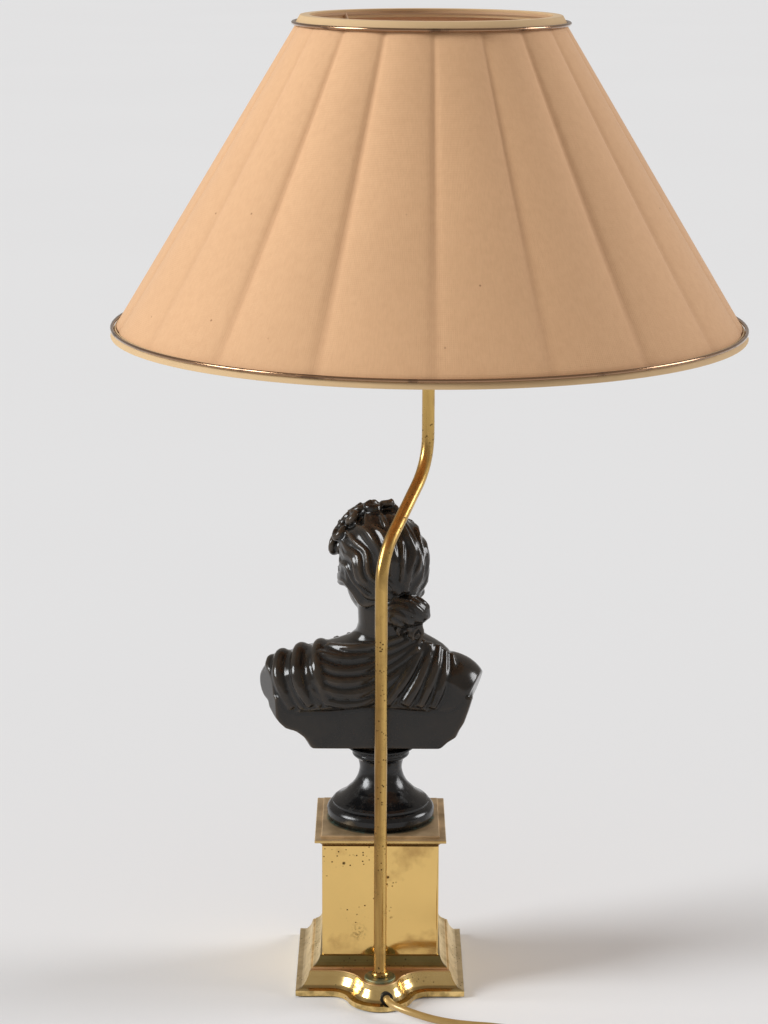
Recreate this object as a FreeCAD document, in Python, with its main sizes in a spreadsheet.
import FreeCAD, Part
import math
import os

import Sketcher
from FreeCAD import Placement, Rotation, Vector

# Figural table lamp, in millimetres.  The origin is on the table under the middle of the square
# pedestal, +Z is up, the bust faces -Y and the stem stands behind it on +Y.

# ---------------------------------------------------------------- driving dimensions

SIZES = [
    # name, millimetres or degrees, what it is
    ("body_gap", 0.3, "air between pieces that move past each other"),
    ("bore_gap", 0.06, "radial clearance of a turning or sliding fit"),
    ("seat_gap", 0.1, "clearance of a piece that is seated and clamped"),
    ("rod_gap", 0.3, "radial clearance of the tie rod in its holes"),
    # plinth
    ("felt_thickness", 1.2, "felt pad under the plinth"),
    ("felt_inset", 2.5, "felt edge inside the plinth edge"),
    ("plinth_half", 68.0, "half the side of the square foot"),
    ("lobe_y", 73.0, "middle of the round rear lobe, and of the stem"),
    ("lobe_radius", 26.5, "rear lobe at the foot"),
    ("lobe_hollow", 16.0, "concave corner between lobe and rear edge"),
    ("foot_height", 5.5, "straight foot of the plinth"),
    ("foot_ledge", 4.5, "ledge over the foot"),
    ("ledge_rise", 1.0, "slope of the ledge"),
    ("ogee_inset", 11.0, "top of the lower moulding, inwards"),
    ("lobe_top", 19.0, "flat top of the lobe"),
    ("tread_inset", 13.4, "foot of the upper moulding, inwards"),
    ("tread_height", 20.2, "foot of the upper moulding"),
    ("cove_inset", 19.4, "top of the upper moulding, inwards"),
    ("cove_height", 28.2, "top of the upper moulding"),
    ("plinth_height", 28.8, "top of the plinth"),
    ("moulding_sag", 1.1, "hollow of the two mouldings"),
    ("plinth_wall", 4.0, "cast wall of the plinth"),
    ("lobe_roof", 2.6, "cast roof of the lobe"),
    # pedestal block and its cap
    ("block_half", 47.0, "half the side of the pedestal block"),
    ("block_height", 92.5, "height of the pedestal block"),
    ("block_wall", 1.5, "sheet of the pedestal block"),
    ("block_fold", 1.6, "rounded folds of the block"),
    ("cap_cove_rise", 4.2, "hollow moulding under the cap"),
    ("cap_half", 52.8, "half the side of the cap lip"),
    ("cap_lip", 2.7, "thickness of the cap lip"),
    ("cap_step_half", 47.5, "half the side of the raised step"),
    ("cap_step", 2.1, "height of the raised step"),
    ("cap_spigot", 5.0, "part of the cap that drops into the block"),
    # tie rod
    ("rod_radius", 3.0, "tie rod that clamps the pedestal together"),
    ("rod_grip", 16.0, "rod screwed into the bust"),
    ("clamp_radius", 13.0, "washer on the tie rod"),
    ("clamp_thickness", 1.6, "washer on the tie rod"),
    ("rod_nut_flats", 10.0, "nut on the tie rod, across flats"),
    ("rod_nut_height", 5.0, "nut on the tie rod"),
    # turned socle of the bust
    ("socle_foot", 41.0, "radius of the socle foot"),
    ("socle_torus", 43.7, "radius of the socle's lower bead"),
    ("socle_foot_height", 16.0, "height of the foot and bead"),
    ("socle_waist", 17.2, "radius of the socle's waist"),
    ("socle_waist_height", 42.5, "height of the waist"),
    ("socle_bead", 23.0, "radius of the upper bead"),
    ("socle_top", 27.2, "radius of the socle under the bust"),
    ("socle_height", 62.2, "height of the socle"),
    ("socle_flare", 34.0, "hollow curve over the foot of the socle"),
    ("socle_neck", 26.0, "hollow curve into the waist of the socle"),
    ("socle_swell", 24.0, "hollow curve out of the waist of the socle"),
    # bust
    ("bust_height", 201.0, "bust from the socle to the crown"),
    ("head_tilt", 6.0, "lean of the head, degrees"),
    ("head_turn", 27.0, "turn of the head, degrees"),
    # stem
    ("stem_radius", 5.0, "stem tube"),
    ("stem_bore", 3.8, "bore of the stem tube"),
    ("stem_foot", 8.6, "lower end of the stem tube above the table"),
    ("crank_height", 35.5479, "upper corner of the crank above the crown of the bust"),
    ("crank_reach", 73.0, "sideways reach of the crank"),
    ("crank_angle", 49.5, "lean of the crank, degrees"),
    ("crank_bend", 50.0, "bend radius of the crank"),
    ("stem_top", 590.0, "upper end of the stem tube above the table"),
    ("stem_turn", 150.0, "direction of the crank as photographed, degrees"),
    ("seat_radius", 12.5, "seat washer on the lobe"),
    ("seat_thickness", 2.2, "seat washer on the lobe"),
    ("collar_radius", 6.8, "collar on the stem"),
    ("collar_height", 3.6, "collar on the stem"),
    ("wave_radius", 9.0, "friction washer under the lobe"),
    ("wave_thickness", 1.0, "friction washer under the lobe"),
    ("lock_nut_flats", 14.0, "lock nut under the lobe, across flats"),
    ("lock_nut_height", 3.0, "lock nut under the lobe"),
    # lampholder
    ("holder_radius", 20.0, "holder body"),
    ("holder_wall", 1.4, "holder body"),
    ("holder_neck", 8.0, "neck of the holder on the stem"),
    ("holder_neck_height", 9.0, "neck of the holder"),
    ("holder_cap_height", 34.0, "holder from the neck to its joint"),
    ("holder_skirt_height", 34.0, "threaded skirt of the holder"),
    ("holder_overlap", 9.0, "skirt over the stem's upper end"),
    ("shell_radius", 13.9, "brass screw shell, outside"),
    ("shell_wall", 0.5, "brass screw shell"),
    ("shell_height", 25.0, "brass screw shell"),
    ("insert_height", 7.0, "ceramic insert under the screw shell"),
    ("screw_radius", 1.6, "terminal screws"),
    ("screw_spread", 11.0, "terminal screws from the axis"),
    ("ring_radius", 27.0, "screw rings that clamp the shade"),
    ("ring_height", 5.0, "screw rings that clamp the shade"),
    ("switch_radius", 2.6, "push bar of the switch"),
    ("switch_offset", 10.5, "push bar beside the axis"),
    ("switch_length", 54.0, "push bar"),
    ("switch_travel", 6.0, "push bar"),
    ("switch_drop", 13.0, "push bar under the joint of the holder"),
    ("bulb_radius", 30.0, "bulb glass"),
    ("bulb_length", 108.0, "bulb from its contact to its crown"),
    ("bulb_cap_radius", 13.1, "screw cap of the bulb"),
    ("bulb_cap_height", 26.0, "screw cap of the bulb"),
    ("bulb_neck_swell", 4.5, "neck of the glass beyond its cap"),
    ("bulb_neck_height", 20.0, "neck of the glass above its cap"),
    ("bulb_neck_bend", 60.0, "outward curve of the neck"),
    ("bulb_shoulder_bend", 72.0, "inward curve of the shoulder"),
    # shade
    ("shade_height", 244.0, "cover of the shade"),
    ("shade_bottom", 247.9, "radius of the cover at its lower edge"),
    ("shade_top", 99.5, "radius of the cover at its upper edge"),
    ("crease_depth", 1.2, "how far the creases between panels lie inside the round"),
    ("cover_thickness", 1.2, "cover of the shade"),
    ("wire_radius", 2.0, "ring wires and arms"),
    ("fitter_thickness", 2.0, "fitter ring between the screw rings"),
    ("fitter_radius", 26.0, "fitter ring"),
    ("fitter_drop", 127.8, "fitter ring under the top edge of the cover"),
    ("frame_arms", 3, "arms of the top frame"),
    ("arm_start", 75.0, "direction of the first arm, degrees"),
    ("trim_radius", 1.4, "gold bead, half its thickness"),
    ("tape_width", 6.4, "bound edge of the shade"),
    ("tape_thickness", 0.7, "bound edge of the shade"),
    # cord and plug
    ("cord_radius", 3.0, "round cord"),
    ("cord_gap", 0.6, "air between the loops of the coil"),
    ("lead_radius", 1.3, "inner lead"),
    ("lead_level", 4.0, "inner lead where it turns up into the stem"),
    ("outlet_height", 10.0, "cord outlet above the table"),
    ("outlet_turn", 15.0, "cord outlet round the lobe, degrees"),
    ("outlet_reach", 21.0, "outer face of the bushing from the lobe's middle"),
    ("bushing_foot", 11.9, "inner end of the bushing from the lobe's middle"),
    ("bushing_radius", 4.4, "bushing in the lobe wall"),
    ("bushing_flange", 5.2, "flange of the bushing"),
    ("bushing_lip", 1.4, "thickness of the flange"),
    ("coil_x", -110.0, "middle of the coiled cord"),
    ("coil_y", 200.0, "middle of the coiled cord"),
    ("coil_radius", 44.0, "outermost loop, to the middle of the cord"),
    ("plug_width", 35.3, "plug body"),
    ("plug_thickness", 13.7, "plug body"),
    ("plug_length", 34.0, "plug body"),
    ("plug_nose", 11.0, "plug body where the cord enters"),
    ("plug_x", -187.5, "plug body's cord end"),
    ("plug_y", 240.2, "plug body"),
    ("plug_height", 7.2, "plug axis above the table"),
    ("pin_radius", 2.0, "plug pins"),
    ("pin_length", 19.0, "plug pins"),
    ("pin_spread", 19.0, "plug pins, middle to middle"),
]

PANELS = 18                      # panels of the shade
COIL_IN = 3.5                    # turns of the lower layer, spiralling in
COIL_CLIMB = 0.5                 # the half turn that climbs a layer
COIL_OUT = 3.0                   # turns of the upper layer, spiralling out
TRIM_SINK = 0.6                  # share of the half bead that lies over the tape
CORD_SIDES = 8                   # flat sides of the cord, so that it lies on one of them

# The free cord from the bushing to the coil, points chosen by hand, x y z.
SUPPLY_POINTS = [
    (-7.5, 101.0, 10.1), (-12.0, 108.2, 10.0), (-18.7, 114.2, 9.6), (-28.2, 119.7, 8.4),
    (-40.3, 124.2, 6.4), (-54.5, 127.2, 4.6), (-70.5, 128.8, 3.3), (-88.0, 130.7, 3.0),
    (-107.0, 136.5, 3.0), (-127.0, 148.5, 3.0), (-144.5, 165.0, 3.0), (-153.9, 183.0, 3.0),
]
# The free cord from the coil to the plug.
TAIL_POINTS = [
    (-151.1, 217.0, 9.6), (-155.0, 227.8, 8.9), (-163.2, 235.8, 8.0), (-174.0, 240.2, 7.2),
]


class Size:
    """A number together with the sheet expression that yields it."""

    def __init__(self, value, text):
        self.value = value
        self.text = text

    def join(self, other, sign, value):
        return Size(value, "(%s %s %s)" % (self.text, sign, other.text))

    def __add__(self, other):
        other = as_size(other)
        return self.join(other, "+", self.value + other.value)

    def __sub__(self, other):
        other = as_size(other)
        return self.join(other, "-", self.value - other.value)

    def __mul__(self, other):
        other = as_size(other)
        return self.join(other, "*", self.value * other.value)

    def __truediv__(self, other):
        other = as_size(other)
        return self.join(other, "/", self.value / other.value)

    def __radd__(self, other):
        return as_size(other) + self

    def __rmul__(self, other):
        return as_size(other) * self

    def __neg__(self):
        return Size(-self.value, "(0 - %s)" % self.text)


def as_size(item):
    return item if isinstance(item, Size) else Size(float(item), repr(float(item)))


def sine(angle):
    return Size(math.sin(math.radians(angle.value)), "sin(%s * 1 deg)" % angle.text)


def cosine(angle):
    return Size(math.cos(math.radians(angle.value)), "cos(%s * 1 deg)" % angle.text)


def root(size):
    return Size(math.sqrt(size.value), "sqrt(%s)" % size.text)


def tangent(angle):
    return Size(math.tan(math.radians(angle.value)), "tan(%s * 1 deg)" % angle.text)


class Sheet:
    """The driving dimensions, read by name."""

    def __init__(self, document):
        self.cells = document.addObject("Spreadsheet::Sheet", "Sizes")
        for row, (name, number, meaning) in enumerate(SIZES, start=1):
            self.cells.set("A%d" % row, meaning)
            self.cells.set("B%d" % row, str(number))
            self.cells.setAlias("B%d" % row, name)
        document.recompute()

    def __getattr__(self, name):
        return Size(float(self.cells.get(name)), "Sizes.%s" % name)


doc = FreeCAD.newDocument("table_lamp")
sheet = Sheet(doc)
pieces = []

# ---------------------------------------------------------------- heights that pieces share

block_base = sheet.plinth_height
cap_base = block_base + sheet.block_height
lip_base = cap_base + sheet.cap_cove_rise
step_base = lip_base + sheet.cap_lip
socle_base = step_base + sheet.cap_step
bust_base = socle_base + sheet.socle_height
seat_top = sheet.lobe_top + sheet.seat_thickness
lobe_ceiling = sheet.lobe_top - sheet.lobe_roof
hall_ceiling = sheet.plinth_height - sheet.plinth_wall
hall_inset = sheet.ogee_inset + sheet.plinth_wall
holder_base = sheet.stem_top - sheet.holder_overlap
cap_joint = holder_base + sheet.holder_neck_height + sheet.holder_cap_height
holder_top = cap_joint + sheet.holder_skirt_height
fitter_base = holder_top - sheet.ring_height - sheet.body_gap - sheet.fitter_thickness
cover_top = fitter_base + sheet.fitter_drop
cover_base = cover_top - sheet.shade_height
holder_x = -sheet.crank_reach * sine(sheet.stem_turn)
holder_y = sheet.lobe_y + sheet.crank_reach * cosine(sheet.stem_turn)


# ---------------------------------------------------------------- ways of making a piece

def keep(piece, label):
    piece.Label = label
    pieces.append(piece)
    return piece


def place(piece, x, y, z=0, turn=0):
    """Stands a piece at a point, turned about the upright axis."""
    turn = as_size(turn)
    piece.Placement = Placement(Vector(0, 0, 0), Rotation(Vector(0, 0, 1), turn.value))
    for axis, size in zip("xyz", (x, y, z)):
        piece.setExpression("Placement.Base." + axis, as_size(size).text)
    if turn.text != "0.0":
        piece.setExpression("Placement.Rotation.Angle", turn.text)
    return piece


def new_body(label):
    return keep(doc.addObject("PartDesign::Body", label), label)


def new_sketch(body, role):
    plane = next(item for item in body.Origin.OriginFeatures if item.Role == role)
    sketch = body.newObject("Sketcher::SketchObject", body.Name + "_sketch")
    sketch.AttachmentSupport = (plane, "")
    sketch.MapMode = "FlatFace"
    return sketch


def pin_point(sketch, geometry, vertex, x, y):
    """Drives one end of a line or arc by two sizes measured from the sketch origin."""
    for kind, axis, size in (("DistanceX", -2, x), ("DistanceY", -1, y)):
        if size.text == "0.0":
            sketch.addConstraint(Sketcher.Constraint("PointOnObject", geometry, vertex, axis))
            continue
        driven = Sketcher.Constraint(kind, -1, 1, geometry, vertex, size.value)
        index = sketch.addConstraint(driven)
        sketch.setExpression("Constraints[%d]" % index, size.text)


def arc_between(start, end, radius):
    """The short arc from start to end; a positive radius turns left."""
    half = math.dist(start, end) / 2
    rise = math.sqrt(max(radius * radius - half * half, 0.0)) * math.copysign(1, radius)
    along = ((end[0] - start[0]) / (2 * half), (end[1] - start[1]) / (2 * half))
    centre = ((start[0] + end[0]) / 2 - along[1] * rise, (start[1] + end[1]) / 2 + along[0] * rise)
    first, last = (start, end) if radius > 0 else (end, start)
    circle = Part.Circle(Vector(centre[0], centre[1], 0), Vector(0, 0, 1), abs(radius))
    angles = [math.atan2(p[1] - centre[1], p[0] - centre[0]) for p in (first, last)]
    return Part.ArcOfCircle(circle, angles[0], angles[1])


def draw(sketch, points, closed=True):
    """Lines and arcs through points (x, y) or (x, y, radius of the arc that leads there)."""
    corners = [tuple(as_size(item) for item in point) for point in points]
    steps = list(zip(corners, corners[1:] + corners[:1]))
    if not closed:
        steps.pop()
    ends = []
    for start, end in steps:
        flat_start = (start[0].value, start[1].value)
        flat_end = (end[0].value, end[1].value)
        if len(end) == 2:
            line = Part.LineSegment(Vector(*flat_start, 0), Vector(*flat_end, 0))
            ends.append((sketch.addGeometry(line), 1, 2))
            continue
        radius = end[2]
        index = sketch.addGeometry(arc_between(flat_start, flat_end, radius.value))
        ends.append((index, 1, 2) if radius.value > 0 else (index, 2, 1))
        size = radius if radius.value > 0 else -radius
        driven = sketch.addConstraint(Sketcher.Constraint("Radius", index, size.value))
        sketch.setExpression("Constraints[%d]" % driven, size.text)
    for (first, _, tip), (second, tail, _) in zip(ends, ends[1:] + ends[:1]):
        if closed or second != ends[0][0]:
            sketch.addConstraint(Sketcher.Constraint("Coincident", first, tip, second, tail))
    for (index, tail, tip), (start, end) in zip(ends, steps):
        pin_point(sketch, index, tail, start[0], start[1])
    if not closed:
        index, tail, tip = ends[-1]
        pin_point(sketch, index, tip, steps[-1][1][0], steps[-1][1][1])


def add_circle(sketch, radius, x=0, y=0):
    x, y = as_size(x), as_size(y)
    circle = Part.Circle(Vector(x.value, y.value, 0), Vector(0, 0, 1), radius.value)
    index = sketch.addGeometry(circle)
    pin_point(sketch, index, 3, x, y)
    driven = sketch.addConstraint(Sketcher.Constraint("Radius", index, radius.value))
    sketch.setExpression("Constraints[%d]" % driven, radius.text)


def turned(label, points):
    """A turned piece: its half outline (radius, height) revolved about the upright axis."""
    body = new_body(label)
    sketch = new_sketch(body, "XZ_Plane")
    draw(sketch, points)
    feature = body.newObject("PartDesign::Revolution", label + "_turning")
    feature.Profile = sketch
    feature.ReferenceAxis = (sketch, ["V_Axis"])
    feature.Angle = 360.0
    return body


def ring(label, inner, outer, base, height):
    """A plain turned ring or washer."""
    top = base + height
    return turned(label, [(inner, base), (outer, base), (outer, top), (inner, top)])


def padded(body, sketch, height, name="pad"):
    feature = body.newObject("PartDesign::Pad", body.Name + "_" + name)
    feature.Profile = sketch
    feature.setExpression("Length", as_size(height).text)
    return feature


def hexagon(label, flats, bore, base, height):
    """A hexagon nut, made as a six-sided prism with its bore."""
    corner = flats / (2 * cosine(as_size(30)))
    prism = doc.addObject("Part::Prism", label + "_prism")
    prism.Polygon = 6
    prism.setExpression("Circumradius", corner.text)
    prism.setExpression("Height", as_size(height).text)
    hole = doc.addObject("Part::Cylinder", label + "_bore")
    hole.setExpression("Radius", bore.text)
    hole.setExpression("Height", as_size(height).text)
    nut = doc.addObject("Part::Cut", label)
    nut.Base = prism
    nut.Tool = hole
    return keep(nut, label)


def shaped(label, shape):
    """A piece whose outline no sketch or primitive fits."""
    feature = doc.addObject("Part::Feature", label)
    feature.Shape = shape
    return keep(feature, label)


# ---------------------------------------------------------------- plinth

def square_wire(half, z):
    corners = [Vector(x * half, y * half, z) for x, y in ((-1, -1), (1, -1), (1, 1), (-1, 1))]
    return Part.makePolygon(corners + corners[:1])


def plinth_wire(inset, z):
    """The serpentine outline of the plinth: a square whose rear edge swells into the lobe."""
    half = sheet.plinth_half.value - inset
    lobe = sheet.lobe_radius.value - inset
    hollow = sheet.lobe_hollow.value + inset
    centre = Vector(0, sheet.lobe_y.value, z)
    bend_y = half + hollow
    bend_x = math.sqrt((lobe + hollow) ** 2 - (bend_y - centre.y) ** 2)
    bend = Vector(bend_x, bend_y, z)
    toward = (centre - bend).normalize()
    meet = bend + toward * hollow
    start = Vector(bend_x, half, z)
    middle = bend + (toward + Vector(0, -1, 0)).normalize() * hollow
    mirror = [Vector(-p.x, p.y, z) for p in (start, middle, meet)]
    crown = centre + Vector(0, lobe, 0)
    flat = [Vector(x * half, y * half, z) for x, y in ((-1, 1), (-1, -1), (1, -1), (1, 1))]
    edges = [
        Part.Arc(start, middle, meet).toShape(),
        Part.Arc(meet, crown, mirror[2]).toShape(),
        Part.Arc(mirror[2], mirror[1], mirror[0]).toShape(),
        Part.LineSegment(mirror[0], flat[0]).toShape(),
    ]
    edges += [Part.LineSegment(a, b).toShape() for a, b in zip(flat, flat[1:])]
    edges.append(Part.LineSegment(flat[-1], start).toShape())
    return Part.Wire(edges)


def hollow_moulding(start, end, sag, count):
    """Points (inset, height) along a shallow hollow arc from start to end."""
    across = Vector(end[0] - start[0], end[1] - start[1], 0)
    side = Vector(across.y, -across.x, 0).normalize()
    points = []
    for step in range(count + 1):
        along = step / count
        bow = 4 * sag * along * (1 - along)
        points.append((start[0] + across.x * along + side.x * bow,
                       start[1] + across.y * along + side.y * bow))
    return points


def stacked(wire_at, levels):
    """A ruled loft through one outline at each (inset, height)."""
    return Part.makeLoft([wire_at(inset, z) for inset, z in levels], True, True)


def make_plinth():
    base = sheet.felt_thickness.value
    half = sheet.plinth_half.value
    sag = sheet.moulding_sag.value
    ledge = (sheet.foot_ledge.value, sheet.foot_height.value + sheet.ledge_rise.value)
    shoulder = (sheet.ogee_inset.value, sheet.lobe_top.value - 1.0)
    lower = [(0.0, base), (0.0, sheet.foot_height.value)]
    lower += hollow_moulding(ledge, shoulder, sag, 4)
    lower.append((sheet.ogee_inset.value + 1.0, sheet.lobe_top.value))
    shell = stacked(plinth_wire, lower)
    tread = sheet.tread_inset.value
    upper = [(tread, sheet.lobe_top.value - 1.0)]
    upper += hollow_moulding((tread, sheet.tread_height.value),
                             (sheet.cove_inset.value, sheet.cove_height.value), sag, 4)
    upper.append((half - sheet.block_half.value - 0.6, sheet.plinth_height.value))
    shell = shell.fuse(stacked(lambda inset, z: square_wire(half - inset, z), upper))
    wall = hall_inset.value
    shell = shell.cut(stacked(plinth_wire, [(wall, 0.0), (wall, lobe_ceiling.value)]))
    room = half - sheet.cove_inset.value - sheet.plinth_wall.value
    hall = Part.makeBox(2 * room, 2 * room, hall_ceiling.value, Vector(-room, -room, 0))
    shell = shell.cut(hall)
    rod = Part.makeCylinder((sheet.rod_radius + sheet.rod_gap).value, sheet.plinth_height.value)
    stem = Part.makeCylinder((sheet.stem_radius + sheet.bore_gap).value, seat_top.value,
                             Vector(0, sheet.lobe_y.value, 0))
    through = sheet.plinth_half.value
    outlet = Part.makeCylinder((sheet.bushing_radius + sheet.seat_gap).value, through)
    outlet.Placement = outlet_axis(0.0)
    spot_face = Part.makeCylinder((sheet.bushing_flange + sheet.seat_gap).value, through)
    spot_face.Placement = outlet_axis(
        (sheet.outlet_reach - sheet.bushing_lip - sheet.seat_gap).value)
    return shell.cut([rod, stem, outlet, spot_face])


def outlet_axis(reach):
    """The line of the cord outlet, from the lobe's middle outwards."""
    turn = Rotation(Vector(0, 0, 1), sheet.outlet_turn.value)
    lean = Rotation(Vector(1, 0, 0), -90)
    out = turn.multVec(Vector(0, 1, 0))
    start = Vector(0, sheet.lobe_y.value, sheet.outlet_height.value)
    return Placement(start + out * reach, turn * lean)


shaped("base_plinth", make_plinth())

felt_inset = sheet.felt_inset.value
felt = stacked(plinth_wire, [(felt_inset, 0.0), (felt_inset, sheet.felt_thickness.value)])
shaped("base_felt", felt)


# ---------------------------------------------------------------- pedestal block, cap and tie rod

def box_points(half):
    return [(-half, -half), (half, -half), (half, half), (-half, half)]


block = new_body("pedestal_block")
block_outline = new_sketch(block, "XY_Plane")
draw(block_outline, box_points(sheet.block_half))
block_pad = padded(block, block_outline, sheet.block_height)
doc.recompute()
upright = [
    "Edge%d" % number for number, edge in enumerate(block_pad.Shape.Edges, start=1)
    if abs(edge.Vertexes[0].Z - edge.Vertexes[1].Z) > 1
]
folds = block.newObject("PartDesign::Fillet", "pedestal_block_folds")
folds.Base = (block_pad, upright)
folds.setExpression("Radius", sheet.block_fold.text)
block_hollow = new_sketch(block, "XY_Plane")
draw(block_hollow, box_points(sheet.block_half - sheet.block_wall))
block_bore = block.newObject("PartDesign::Pocket", "pedestal_block_hollow")
block_bore.Profile = block_hollow
block_bore.Type = "ThroughAll"
block_bore.Reversed = True
block.Tip = block_bore
place(block, 0, 0, block_base)


def make_cap():
    """The cast cap: spigot, cove, lip with a softened edge, and raised step."""
    inner = (sheet.block_half - sheet.block_wall - sheet.seat_gap).value
    half = sheet.cap_half.value
    base, lip, step = cap_base.value, lip_base.value, step_base.value
    edge = sheet.cap_lip.value * 0.2
    cove = hollow_moulding((sheet.block_half.value - 1.0, base), (half - 1.0, lip), -0.9, 4)
    outline = cove + [(half, lip + edge), (half, step - edge), (half - edge, step)]
    cap = stacked(square_wire, outline)
    rise = sheet.cap_step_half.value
    top = socle_base.value
    cap = cap.fuse(stacked(square_wire, [(rise, lip), (rise, top - edge), (rise - edge, top)]))
    spigot = stacked(square_wire, [(inner, base - sheet.cap_spigot.value), (inner, lip)])
    room = inner - sheet.plinth_wall.value
    recess = stacked(square_wire, [(room, base - sheet.cap_spigot.value), (room, base)])
    rod = Part.makeCylinder((sheet.rod_radius + sheet.rod_gap).value, top)
    return cap.fuse(spigot).cut([recess, rod])


shaped("pedestal_cap", make_cap())

rod_base = hall_ceiling - sheet.clamp_thickness - sheet.rod_nut_height - 4
rod = keep(doc.addObject("Part::Cylinder", "tie_rod"), "tie_rod")
rod.setExpression("Radius", sheet.rod_radius.text)
rod.setExpression("Height", (bust_base + sheet.rod_grip - rod_base).text)
place(rod, 0, 0, rod_base)

rod_hole = sheet.rod_radius + sheet.rod_gap
rod_thread = sheet.rod_radius + sheet.seat_gap
clamp_base = hall_ceiling - sheet.clamp_thickness
ring("clamp_washer", rod_hole, sheet.clamp_radius, clamp_base, sheet.clamp_thickness)
rod_nut = hexagon("clamp_nut", sheet.rod_nut_flats, rod_thread, 0, sheet.rod_nut_height)
place(rod_nut, 0, 0, clamp_base - sheet.rod_nut_height)


# ---------------------------------------------------------------- turned socle

foot_top = sheet.socle_foot_height
socle = turned("bust_socle", [
    (rod_hole, 0),
    (sheet.socle_foot, 0),
    (sheet.socle_torus, 5.0),
    (sheet.socle_torus, 9.0),
    (sheet.socle_foot, foot_top - 3, 6.0),
    (sheet.socle_foot - 1.6, foot_top - 2.2),
    (sheet.socle_foot - 1.6, foot_top - 0.4),
    (sheet.socle_foot - 3.4, foot_top + 1.2),
    (sheet.socle_waist + 9.5, foot_top + 9.2, sheet.socle_flare * -1),
    (sheet.socle_waist, sheet.socle_waist_height, sheet.socle_neck * -1),
    (sheet.socle_waist + 1.4, sheet.socle_waist_height + 8.2, sheet.socle_swell * -1),
    (sheet.socle_bead - 0.8, sheet.socle_height - 8.4),
    (sheet.socle_bead, sheet.socle_height - 5.6, 2.2),
    (sheet.socle_bead + 0.2, sheet.socle_height - 3.6),
    (sheet.socle_top, sheet.socle_height - 1.2),
    (sheet.socle_top, sheet.socle_height),
    (rod_hole, sheet.socle_height),
])
place(socle, 0, 0, socle_base)


# ---------------------------------------------------------------- bust

# Level sections, as shares of the height of the bust: the trunk, its neck and the head are each
# a stack of level rings, each ring a many-sided oval with flutes where cloth or hair falls.
TRUNK = [
    # height, middle x, middle y, half width, half depth, depth of the folds
    (0.000, 4.0, -8.0, 54.0, 29.0, 0.00),
    (0.050, 1.7, -8.5, 60.5, 33.0, 0.00),
    (0.090, 4.0, -8.5, 69.0, 36.0, 0.01),
    (0.135, 8.0, -8.0, 77.0, 38.0, 0.02),
    (0.210, 9.2, -7.0, 84.0, 38.5, 0.04),
    (0.290, 8.2, -6.0, 86.5, 37.5, 0.05),
    (0.345, 12.5, -4.5, 81.0, 34.0, 0.05),
    (0.385, 9.0, -3.0, 67.0, 29.0, 0.05),
    (0.420, -1.5, -1.0, 48.0, 25.0, 0.04),
    (0.450, -5.0, 0.5, 33.0, 22.0, 0.02),
    (0.490, -4.0, 1.5, 22.5, 20.5, 0.00),
    (0.600, -1.5, 0.0, 20.0, 20.5, 0.00),
]
HEAD = [
    (-0.230, 0.0, -21.0, 8.0, 9.0, 0.0),
    (-0.205, 0.0, -17.0, 15.0, 18.0, 0.0),
    (-0.150, 0.0, -9.0, 23.0, 29.0, 0.0),
    (-0.085, 0.0, -1.0, 29.0, 37.0, 0.02),
    (0.000, 0.0, 1.0, 35.0, 41.0, 0.03),
    (0.075, 0.0, 1.0, 37.0, 42.0, 0.05),
    (0.135, 0.0, 0.0, 33.5, 38.0, 0.05),
    (0.185, 0.0, -2.0, 24.0, 28.0, 0.04),
    (0.215, 0.0, -3.0, 12.0, 14.0, 0.0),
]
KNOT = [
    (-0.062, -6.0, 33.0, 6.0, 4.0, 0.0),
    (-0.042, -6.0, 35.0, 14.0, 9.0, 0.06),
    (0.000, -6.0, 35.0, 18.0, 12.5, 0.08),
    (0.035, -6.0, 32.0, 15.0, 11.0, 0.06),
    (0.060, -6.0, 28.0, 6.0, 5.0, 0.0),
]
HEAD_MIDDLE = 0.780              # level of the widest ring of the head
KNOT_LEVEL = -0.150              # gathered hair at the nape, from the middle of the head
DRAWN_HEIGHT = 201.0             # the tables are in millimetres at this height
RING_SIDES = 24
FLUTES = 7                       # folds round a ring
SWING = 2.4                      # how far the folds drift round from the foot up, radians
BACK_CUT = 22.5                  # flat back of the hollow-cast trunk
BACK_TOP = 0.17                  # upper edge of the flat back


def fluted_ring(x, y, z, wide, deep, flute, drift):
    corners = []
    for side in range(RING_SIDES):
        angle = 2 * math.pi * side / RING_SIDES
        swell = 1 + flute * math.cos(FLUTES * angle + drift)
        corners.append(Vector(x + wide * swell * math.cos(angle), y + deep * swell * math.sin(angle), z))
    return Part.makePolygon(corners + corners[:1])


def stack_of_rings(rows, tall):
    wires = []
    for share, *lengths, flute in rows:
        x, y, wide, deep = (length * tall / DRAWN_HEIGHT for length in lengths)
        wires.append(fluted_ring(x, y, tall * share, wide, deep, flute, SWING * share * 10))
    return Part.makeLoft(wires, True, True)


def make_bust():
    """A plain, closed form of the draped bust: trunk with its flat back, neck, head and hair."""
    tall = sheet.bust_height.value
    trunk = stack_of_rings(TRUNK, tall)
    back_y = BACK_CUT * tall / DRAWN_HEIGHT
    back = Part.makeBox(2 * tall, tall, tall * BACK_TOP, Vector(-tall, back_y, 0))
    turn = Rotation(Vector(0, 0, 1), sheet.head_turn.value)
    lean = Rotation(Vector(0, 1, 0), sheet.head_tilt.value)
    head = stack_of_rings(HEAD, tall)
    knot = stack_of_rings(KNOT, tall)
    knot.translate(Vector(0, 0, tall * KNOT_LEVEL))
    head = head.fuse(knot)
    head.Placement = Placement(Vector(0, 0, tall * HEAD_MIDDLE), turn * lean)
    socket = Part.makeCylinder((sheet.rod_radius + sheet.seat_gap).value, sheet.rod_grip.value + 1)
    bust = trunk.cut(back).fuse(head).cut(socket)
    bust.translate(Vector(0, 0, bust_base.value))
    return bust


shaped("bust_figure", make_bust())


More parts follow.
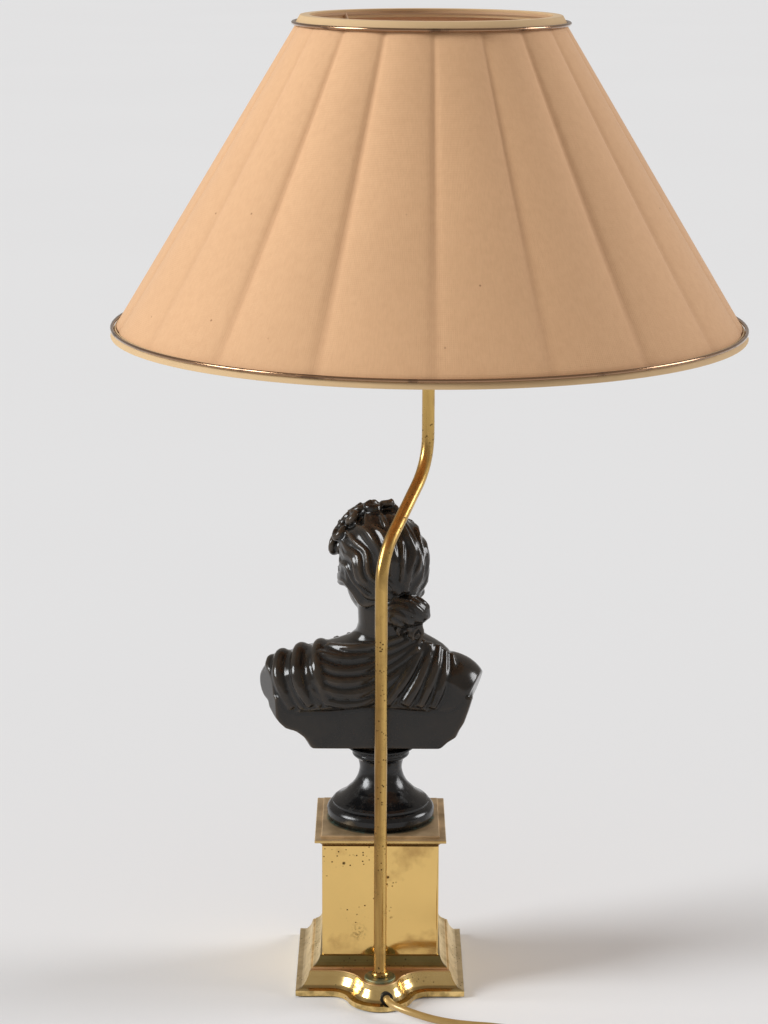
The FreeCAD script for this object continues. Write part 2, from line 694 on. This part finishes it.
# ---------------------------------------------------------------- stem and its seat

def on_stem_axis(piece, z=0):
    return place(piece, 0, sheet.lobe_y, z, sheet.stem_turn)


def on_holder_axis(piece, z=0):
    return place(piece, holder_x, holder_y, z, sheet.stem_turn)


running = sheet.stem_radius + sheet.bore_gap
fixed = sheet.stem_radius + sheet.seat_gap
seat = turned("stem_seat_washer", [
    (running, 0),
    (sheet.seat_radius, 0),
    (sheet.seat_radius, sheet.seat_thickness * 0.5),
    (sheet.seat_radius - sheet.seat_thickness * 0.5, sheet.seat_thickness, sheet.seat_thickness * 0.5),
    (running, sheet.seat_thickness),
])
place(seat, 0, sheet.lobe_y, sheet.lobe_top)
wave = ring("friction_washer", running, sheet.wave_radius, as_size(0), sheet.wave_thickness)
place(wave, 0, sheet.lobe_y, lobe_ceiling - sheet.wave_thickness)

collar = turned("stem_collar", [
    (fixed, 0),
    (sheet.collar_radius, 0),
    (sheet.collar_radius, sheet.collar_height * 0.55),
    (sheet.collar_radius - 1.2, sheet.collar_height, 3.4),
    (fixed, sheet.collar_height),
])
on_stem_axis(collar, seat_top + sheet.body_gap)
lock_top = lobe_ceiling - sheet.wave_thickness - sheet.body_gap
lock_nut = hexagon("stem_lock_nut", sheet.lock_nut_flats, fixed, 0, sheet.lock_nut_height)
on_stem_axis(lock_nut, lock_top - sheet.lock_nut_height)


def crank(label, start, end, radii):
    """A tube or lead that follows the stem: up, over at the crank, and up again."""
    body = new_body(label)
    profile = new_sketch(body, "XY_Plane")
    for radius in radii:
        add_circle(profile, radius)
    angle = sheet.crank_angle
    reach = sheet.crank_reach
    cut_back = sheet.crank_bend * tangent(angle / 2)
    over = cut_back * sine(angle)
    rise = cut_back * cosine(angle)
    upper = bust_base + sheet.bust_height + sheet.crank_height - start
    lower = upper - reach / tangent(angle)
    path = new_sketch(body, "YZ_Plane")
    draw(path, [
        (0, 0),
        (0, lower - cut_back),
        (over, lower + rise, -sheet.crank_bend),
        (reach - over, upper - rise),
        (reach, upper + cut_back, sheet.crank_bend),
        (reach, end - start),
    ], closed=False)
    sweep = body.newObject("PartDesign::AdditivePipe", label + "_sweep")
    sweep.Profile = profile
    sweep.Spine = (path, [])
    on_stem_axis(body, start)
    return body


crank("stem_tube", sheet.stem_foot, sheet.stem_top, [sheet.stem_radius, sheet.stem_bore])
insert_base = cap_joint - 4
crank("stem_lead", sheet.stem_foot, insert_base - sheet.seat_gap, [sheet.lead_radius])


# ---------------------------------------------------------------- lampholder, bulb and switch

def make_holder():
    wall = sheet.holder_wall
    neck_top = sheet.holder_neck_height
    joint = neck_top + sheet.holder_cap_height
    outer = sheet.holder_radius
    cap = turned("holder_cap", [
        (fixed, 0),
        (sheet.holder_neck, 0),
        (sheet.holder_neck, neck_top),
        (outer, neck_top + 12, 12.5),
        (outer, joint),
        (outer - wall, joint),
        (outer - wall, neck_top + 12),
        (sheet.holder_neck, neck_top + wall, -11.0),
        (fixed, neck_top + wall),
    ])
    slot = new_sketch(cap, "YZ_Plane")
    add_circle(slot, sheet.switch_radius + sheet.bore_gap, sheet.switch_offset,
               joint - sheet.switch_drop)
    cut = cap.newObject("PartDesign::Pocket", "holder_cap_bar_hole")
    cut.Profile = slot
    cut.Type = "ThroughAll"
    cut.Midplane = True
    on_holder_axis(cap, holder_base)

    skirt = turned("holder_skirt", [
        (outer - wall, 0),
        (outer, 0),
        (outer, sheet.holder_skirt_height),
        (sheet.shell_radius + 1, sheet.holder_skirt_height),
        (sheet.shell_radius + 1, sheet.holder_skirt_height - 2),
        (outer - wall, sheet.holder_skirt_height - 2),
    ])
    on_holder_axis(skirt, cap_joint + sheet.seat_gap)

    insert = turned("holder_insert", [
        (0, 0),
        (outer - wall - sheet.seat_gap, 0),
        (outer - wall - sheet.seat_gap, sheet.insert_height),
        (0, sheet.insert_height),
    ])
    on_holder_axis(insert, insert_base)

    shell_base = insert_base + sheet.insert_height
    shell = ring("screw_shell", sheet.shell_radius - sheet.shell_wall, sheet.shell_radius,
                 as_size(0), sheet.shell_height)
    on_holder_axis(shell, shell_base)

    contact = turned("centre_contact", [(0, 0), (4.0, 0), (4.0, 0.5), (1.6, 1.8), (0, 1.8)])
    on_holder_axis(contact, shell_base)

    screws = []
    for side in (-1, 1):
        screw = doc.addObject("Part::Cylinder", "terminal_screw")
        screw.setExpression("Radius", sheet.screw_radius.text)
        screw.Height = 4.0
        screw.setExpression("Placement.Base.x", (side * sheet.screw_spread).text)
        screws.append(screw)
    pair = keep(doc.addObject("Part::Compound", "terminal_screws"), "terminal_screws")
    pair.Links = screws
    on_holder_axis(pair, insert_base - 4.0)

    thread = outer + sheet.seat_gap
    for label, base in (("shade_ring_lower", fitter_base - sheet.body_gap - sheet.ring_height),
                        ("shade_ring_upper", fitter_base + sheet.fitter_thickness + sheet.body_gap)):
        on_holder_axis(ring(label, thread, sheet.ring_radius, as_size(0), sheet.ring_height), base)

    bulb_base = shell_base + 2.2
    cap_top = sheet.bulb_cap_height
    bulb_cap = turned("bulb_cap", [
        (0, 0),
        (4.5, 0),
        (sheet.bulb_cap_radius - 1.5, 4.0),
        (sheet.bulb_cap_radius, 5.5),
        (sheet.bulb_cap_radius, cap_top),
        (0, cap_top),
    ])
    on_holder_axis(bulb_cap, bulb_base)
    crown = sheet.bulb_length
    girth = crown - sheet.bulb_radius
    glass = turned("bulb_glass", [
        (0, cap_top),
        (sheet.bulb_cap_radius - 0.4, cap_top),
        (sheet.bulb_cap_radius + sheet.bulb_neck_swell, cap_top + sheet.bulb_neck_height,
         sheet.bulb_neck_bend),
        (sheet.bulb_radius, girth, -sheet.bulb_shoulder_bend),
        (0, crown, sheet.bulb_radius),
    ])
    on_holder_axis(glass, bulb_base)

    bar = keep(doc.addObject("Part::Cylinder", "switch_bar"), "switch_bar")
    bar.setExpression("Radius", sheet.switch_radius.text)
    bar.setExpression("Height", sheet.switch_length.text)
    turn = Rotation(Vector(0, 0, 1), sheet.stem_turn.value)
    shift = Vector(-(sheet.switch_length.value + sheet.switch_travel.value) / 2,
                   sheet.switch_offset.value, 0)
    height = (cap_joint - sheet.switch_drop).value
    at = Vector(holder_x.value, holder_y.value, height) + turn.multVec(shift)
    bar.Placement = Placement(at, turn * Rotation(Vector(0, 1, 0), 90))


make_holder()


# ---------------------------------------------------------------- shade

slope = (sheet.shade_bottom - sheet.shade_top) / sheet.shade_height
slant = root(1 + slope * slope)  # level reach of a round thing beside the slanted wall, per radius


def cover_radius(height):
    """Outer radius of the cover at a height above its lower edge."""
    return sheet.shade_bottom - slope * height


def panelled_wire(radius, z):
    """A ring of full arcs that meet in creases, one crease towards the photographed side."""
    crease = radius - sheet.crease_depth.value
    edges = []
    for panel in range(PANELS):
        angles = [math.radians(90 + 360.0 / PANELS * (panel + part)) for part in (0, 0.5, 1)]
        sizes = (crease, radius, crease)
        ends = [Vector(r * math.cos(a), r * math.sin(a), z) for r, a in zip(sizes, angles)]
        edges.append(Part.Arc(*ends).toShape())
    return Part.Wire(edges)


def make_cover():
    tall = sheet.shade_height.value
    bottom, top = sheet.shade_bottom.value, sheet.shade_top.value
    skin = sheet.cover_thickness.value
    outside = Part.makeLoft([panelled_wire(bottom, 0), panelled_wire(top, tall)], True, True)
    inside = Part.makeLoft([panelled_wire(bottom - skin, 0), panelled_wire(top - skin, tall)],
                           True, True)
    return outside.cut(inside)


def on_shade_axis(piece, z=0):
    return place(piece, holder_x, holder_y, z)


on_shade_axis(shaped("shade_cover", make_cover()), cover_base)


def beside_wall(radius):
    """How far out the middle of an eight-sided wire stands, level, from the slanted wall."""
    return (radius / cosine(as_size(22.5)) + sheet.body_gap) * slant


wire_reach = beside_wall(sheet.wire_radius)
wire_inset = sheet.cover_thickness + sheet.crease_depth + wire_reach
wire_level = sheet.wire_radius + sheet.body_gap
bottom_wire_radius = cover_radius(wire_level) - wire_inset
top_wire_radius = cover_radius(sheet.shade_height - wire_level) - wire_inset


def hoop(label, middle, radius, level):
    """A ring of eight-sided wire round the axis, a flat side up and down."""
    corner = radius / cosine(as_size(22.5))
    points = []
    for side in range(8):
        angle = as_size(22.5 + 45.0 * side)
        points.append((middle + corner * cosine(angle), level + corner * sine(angle)))
    return turned(label, points)


on_shade_axis(hoop("shade_bottom_ring", bottom_wire_radius, sheet.wire_radius, wire_level),
              cover_base)


def make_top_frame():
    """Top ring, dropped arms and fitter ring, welded together."""
    thick = sheet.wire_radius.value
    level = (sheet.fitter_drop - wire_level).value
    top_radius = top_wire_radius.value
    corners = []
    for side in range(8):
        angle = math.radians(22.5 + 45.0 * side)
        corner = thick / math.cos(math.radians(22.5))
        corners.append(Vector(top_radius + corner * math.cos(angle), 0,
                              level + corner * math.sin(angle)))
    section = Part.Face(Part.makePolygon(corners + corners[:1]))
    frame = section.revolve(Vector(0, 0, 0), Vector(0, 0, 1), 360)
    plate = sheet.fitter_thickness.value
    fitter = Part.makeCylinder(sheet.fitter_radius.value, plate)
    hole = Part.makeCylinder((sheet.holder_radius + sheet.bore_gap).value, plate)
    frame = frame.fuse(fitter.cut(hole))
    for arm in range(int(sheet.frame_arms.value)):
        angle = math.radians(sheet.arm_start.value + 360.0 * arm / sheet.frame_arms.value)
        out = Vector(math.cos(angle), math.sin(angle), 0)
        foot = out * (sheet.fitter_radius.value - 0.5)
        knee = foot + Vector(0, 0, 0) + out * 8.0
        head = out * top_radius
        foot.z = knee.z = plate / 2
        head.z = level
        short = Part.makeCylinder(thick, (knee - foot).Length, foot, knee - foot)
        long = Part.makeCylinder(thick, (head - knee).Length, knee, head - knee)
        frame = frame.fuse([short, long, Part.makeSphere(thick, knee)])
    room = sheet.ring_height.value + 2 * sheet.body_gap.value
    clear = sheet.ring_radius.value + sheet.body_gap.value
    for base in (plate, -room):
        keep_out = Part.makeCylinder(clear, room, Vector(0, 0, base))
        frame = frame.cut(keep_out)
    return frame


on_shade_axis(shaped("shade_top_frame", make_top_frame()), fitter_base)


def bound_edge(label, edge, up):
    """The folded tape over an edge of the cover: outside strip, rim and inside strip."""
    tape = sheet.tape_thickness
    far = sheet.tape_width * up
    rim = edge - tape * up
    inner = -(wire_inset + wire_reach)
    gap = sheet.seat_gap
    low, high = cover_radius(edge), cover_radius(edge + far)
    points = [
        (low + gap + tape, rim),
        (high + gap + tape, edge + far),
        (high + gap, edge + far),
        (low + gap, edge),
        (low + inner, edge),
        (high + inner, edge + far),
        (high + inner - tape, edge + far),
        (low + inner - tape, rim),
    ]
    return on_shade_axis(turned(label, points), cover_base)


def bead(label, height):
    """The gold bead that covers the edge of the tape."""
    tape = sheet.seat_gap + sheet.tape_thickness
    middle = cover_radius(height) + tape + beside_wall(sheet.trim_radius)
    return on_shade_axis(hoop(label, middle, sheet.trim_radius, height), cover_base)


bound_edge("binding_bottom", as_size(0), 1)
top_tape = bound_edge("binding_top", sheet.shade_height, -1)
notch_half = sheet.wire_radius + sheet.body_gap
notch_start = top_wire_radius - 3 * wire_reach
notch = new_sketch(top_tape, "XY_Plane")
draw(notch, [(notch_start, -notch_half), (top_wire_radius, -notch_half),
             (top_wire_radius, notch_half), (notch_start, notch_half)])
slit = top_tape.newObject("PartDesign::Pocket", "binding_top_slit")
slit.Profile = notch
slit.Type = "ThroughAll"
slit.Midplane = True
doc.recompute()
slits = top_tape.newObject("PartDesign::PolarPattern", "binding_top_slits")
slits.Originals = [slit]
slits.Axis = (notch, ["N_Axis"])
slits.Angle = 360.0
slits.setExpression("Occurrences", sheet.frame_arms.text)
top_tape.Tip = slits
place(top_tape, holder_x, holder_y, cover_base, sheet.arm_start)
bead("trim_bottom", sheet.tape_width - sheet.trim_radius * TRIM_SINK)
bead("trim_top", sheet.shade_height - sheet.tape_width + sheet.trim_radius * TRIM_SINK)


# ---------------------------------------------------------------- cord, bushing, leads and plug

def cord_section(start, way, radius):
    """An eight-sided section across the cord, a flat side up and down."""
    side = way.cross(Vector(0, 0, 1)).normalize()
    top = side.cross(way).normalize()
    corner = radius / math.cos(math.pi / CORD_SIDES)
    corners = []
    for number in range(CORD_SIDES + 1):
        angle = 2 * math.pi * (number + 0.5) / CORD_SIDES
        corners.append(start + side * corner * math.cos(angle) + top * corner * math.sin(angle))
    return Part.makePolygon(corners)


def swept(path, start, way, radius):
    """The cord along its path, and its volume as a share of section times length."""
    section = cord_section(start, way, radius)
    solid = path.makePipeShell([section], True, False)
    return solid, solid.Volume / (Part.Face(section).Area * path.Length)


def tube(points, radius, label):
    """A tube of straight runs joined by tangent arcs, with its radii printed."""
    points = [Vector(*point) for point in points]
    edges = []
    radii = []
    start = points[0]
    for before, corner, after in zip(points, points[1:], points[2:]):
        toward, away = (before - corner), (after - corner)
        shorter = min(toward.Length, away.Length)
        half_turn = (math.pi - toward.getAngle(away)) / 2
        back = 0.45 * shorter
        bend = back / math.tan(half_turn)
        radii.append(round(bend, 1))
        first = corner + toward.normalize() * back
        last = corner + away.normalize() * back
        inward = (toward + away).normalize()
        middle = corner + inward * (bend / math.cos(half_turn) - bend)
        edges.append(Part.LineSegment(start, first).toShape())
        edges.append(Part.Arc(first, middle, last).toShape())
        start = last
    edges.append(Part.LineSegment(start, points[-1]).toShape())
    path = Part.Wire(edges)
    solid, share = swept(path, points[0], points[1] - points[0], radius)
    print(label, "length %.1f" % path.Length, "volume share %.4f" % share, "radii", radii)
    return solid


def coil_layer():
    return 2 * sheet.cord_radius.value + sheet.cord_gap.value


def coil_point(turns):
    """The middle of the coiled cord after so many turns, wound clockwise from its -X side."""
    pitch = coil_layer()
    low = sheet.cord_radius.value
    inner = sheet.coil_radius.value - pitch * COIL_IN
    past = turns - COIL_IN
    if past <= 0:
        radius, height = sheet.coil_radius.value - pitch * turns, low
    elif past < COIL_CLIMB:
        share = past / COIL_CLIMB
        radius = inner - pitch * past * (1 - share)
        height = low + pitch * share * share * (3 - 2 * share)
    else:
        radius, height = inner + pitch * (past - COIL_CLIMB), low + pitch
    angle = math.pi - 2 * math.pi * turns
    return Vector(sheet.coil_x.value + radius * math.cos(angle),
                  sheet.coil_y.value + radius * math.sin(angle), height)


def coil_direction(turns, total):
    step = 1e-5
    low, high = max(turns - step, 0.0), min(turns + step, total)
    return (coil_point(high) - coil_point(low)).normalize()


def biarc(start, leave, end, arrive):
    """Two arcs that join two points and share their directions."""
    across = end - start
    along = leave + arrive
    lean = across.dot(along)
    spread = 2 * (1 - leave.dot(arrive))
    reach = (-lean + math.sqrt(lean * lean + spread * across.dot(across))) / spread
    first, second = start + leave * reach, end - arrive * reach
    joint = (first + second) / 2
    edges = []
    for near, corner, far in ((start, first, joint), (joint, second, end)):
        half = (far - near).Length / 2
        to_chord = (near + far) / 2 - corner
        sharp = math.atan2(to_chord.Length, half)
        bend = half / math.sin(sharp)
        middle = (near + far) / 2 - to_chord.normalize() * (bend - bend * math.cos(sharp))
        edges.append(Part.Arc(near, middle, far).toShape())
    return edges


def make_coil():
    """Two layers of loops in one unbroken tube, with straight ends."""
    total = COIL_IN + COIL_CLIMB + COIL_OUT
    count = int(round(total * 4))
    stations = [total * number / count for number in range(count + 1)]
    points = [coil_point(turns) for turns in stations]
    ways = [coil_direction(turns, total) for turns in stations]
    straight = 2 * sheet.cord_radius.value
    start, end = points[0] - ways[0] * straight, points[-1] + ways[-1] * straight
    edges = [Part.LineSegment(start, points[0]).toShape()]
    for number in range(count):
        edges += biarc(points[number], ways[number], points[number + 1], ways[number + 1])
    edges.append(Part.LineSegment(points[-1], end).toShape())
    path = Part.Wire(edges)
    solid, share = swept(path, start, ways[0], sheet.cord_radius.value)
    print("cord_coil length %.1f" % path.Length, "volume share %.4f" % share,
          "least gap %.2f" % least_gap(total))
    return solid, start, end


def least_gap(total):
    """Least air between loops, from points along the coil at least a third of a turn apart."""
    samples = 60
    spots = [coil_point(number / samples) for number in range(int(total * samples) + 1)]
    apart = samples // 3
    least = min((spots[a] - spots[b]).Length
                for a in range(len(spots)) for b in range(a + apart, len(spots)))
    return least - 2 * sheet.cord_radius.value


bushing_bore = sheet.cord_radius + sheet.seat_gap
bushing_length = sheet.outlet_reach - sheet.bushing_foot
bushing = turned("cord_bushing", [
    (bushing_bore, 0),
    (sheet.bushing_radius, 0),
    (sheet.bushing_radius, bushing_length - sheet.bushing_lip),
    (sheet.bushing_flange, bushing_length - sheet.bushing_lip),
    (sheet.bushing_flange, bushing_length),
    (bushing_bore, bushing_length),
])
bushing.Placement = outlet_axis(sheet.bushing_foot.value)

outlet = outlet_axis(sheet.outlet_reach.value)
coil, coil_start, coil_end = make_coil()
supply = [tuple(outlet.Base)] + SUPPLY_POINTS + [tuple(coil_start)]
shaped("supply_cord", tube(supply, sheet.cord_radius.value, "supply_cord"))
shaped("cord_coil", coil)
plug_end = (sheet.plug_x.value, sheet.plug_y.value, sheet.plug_height.value)
tail = [tuple(coil_end)] + TAIL_POINTS + [plug_end]
shaped("cord_tail", tube(tail, sheet.cord_radius.value, "cord_tail"))

lead_bottom = sheet.lead_level.value
lead_points = [(0, sheet.outlet_reach.value, sheet.outlet_height.value),
               (0, sheet.bushing_foot.value, sheet.outlet_height.value),
               (0, sheet.stem_radius.value, lead_bottom),
               (0, 0.0, lead_bottom),
               (0, 0.0, (sheet.stem_foot - sheet.body_gap).value)]
lead = shaped("base_lead", tube(lead_points, sheet.lead_radius.value, "base_lead"))
place(lead, 0, sheet.lobe_y, 0, sheet.outlet_turn)


def slot_wire(width, thickness, x):
    """A flat oval across the plug: two straight sides and two round ends."""
    side, bulge = (width - thickness) / 2, thickness / 2
    tops = [Vector(x, -side, bulge), Vector(x, side, bulge)]
    lows = [Vector(x, side, -bulge), Vector(x, -side, -bulge)]
    return Part.Wire([
        Part.LineSegment(tops[0], tops[1]).toShape(),
        Part.Arc(tops[1], Vector(x, side + bulge, 0), lows[0]).toShape(),
        Part.LineSegment(lows[0], lows[1]).toShape(),
        Part.Arc(lows[1], Vector(x, -side - bulge, 0), tops[0]).toShape(),
    ])


def make_plug():
    nose, width, thick = sheet.plug_nose.value, sheet.plug_width.value, sheet.plug_thickness.value
    long = sheet.plug_length.value
    shape = [(nose, nose - 0.6, 0.0), (nose + 1.5, nose - 0.2, 9.0), (width - 3, thick - 0.6, 20.0),
             (width, thick, long - 8.0), (width, thick, long - 1.0), (width - 1.6, thick - 1.6, long)]
    return Part.makeLoft([slot_wire(*row) for row in shape], True, True)


about = as_size(180)
place(shaped("plug_body", make_plug()), sheet.plug_x, sheet.plug_y, sheet.plug_height, about)
pins = []
for side in (-1, 1):
    pin = doc.addObject("Part::Cylinder", "plug_pin")
    pin.setExpression("Radius", sheet.pin_radius.text)
    pin.setExpression("Height", sheet.pin_length.text)
    pin.Placement = Placement(Vector(0, 0, 0), Rotation(Vector(0, 1, 0), 90))
    pin.setExpression("Placement.Base.y", (side * sheet.pin_spread / 2).text)
    pins.append(pin)
pin_pair = keep(doc.addObject("Part::Compound", "plug_pins"), "plug_pins")
pin_pair.Links = pins
place(pin_pair, sheet.plug_x - sheet.plug_length, sheet.plug_y, sheet.plug_height, about)


# ---------------------------------------------------------------- check and write

doc.recompute()
for item in doc.Objects:
    if "Invalid" in item.State or "Error" in item.State:
        raise RuntimeError("failed: %s %s" % (item.Label, item.State))
for piece in pieces:
    if piece.Shape.isNull() or not piece.Shape.isValid():
        raise RuntimeError("no valid shape: " + piece.Label)
    if len(piece.Shape.Solids) < 1:
        raise RuntimeError("no solid: " + piece.Label)
os.makedirs("parts", exist_ok=True)
for piece in pieces:
    piece.Shape.exportStep("parts/%s.step" % piece.Label)
print(len(pieces), "pieces")
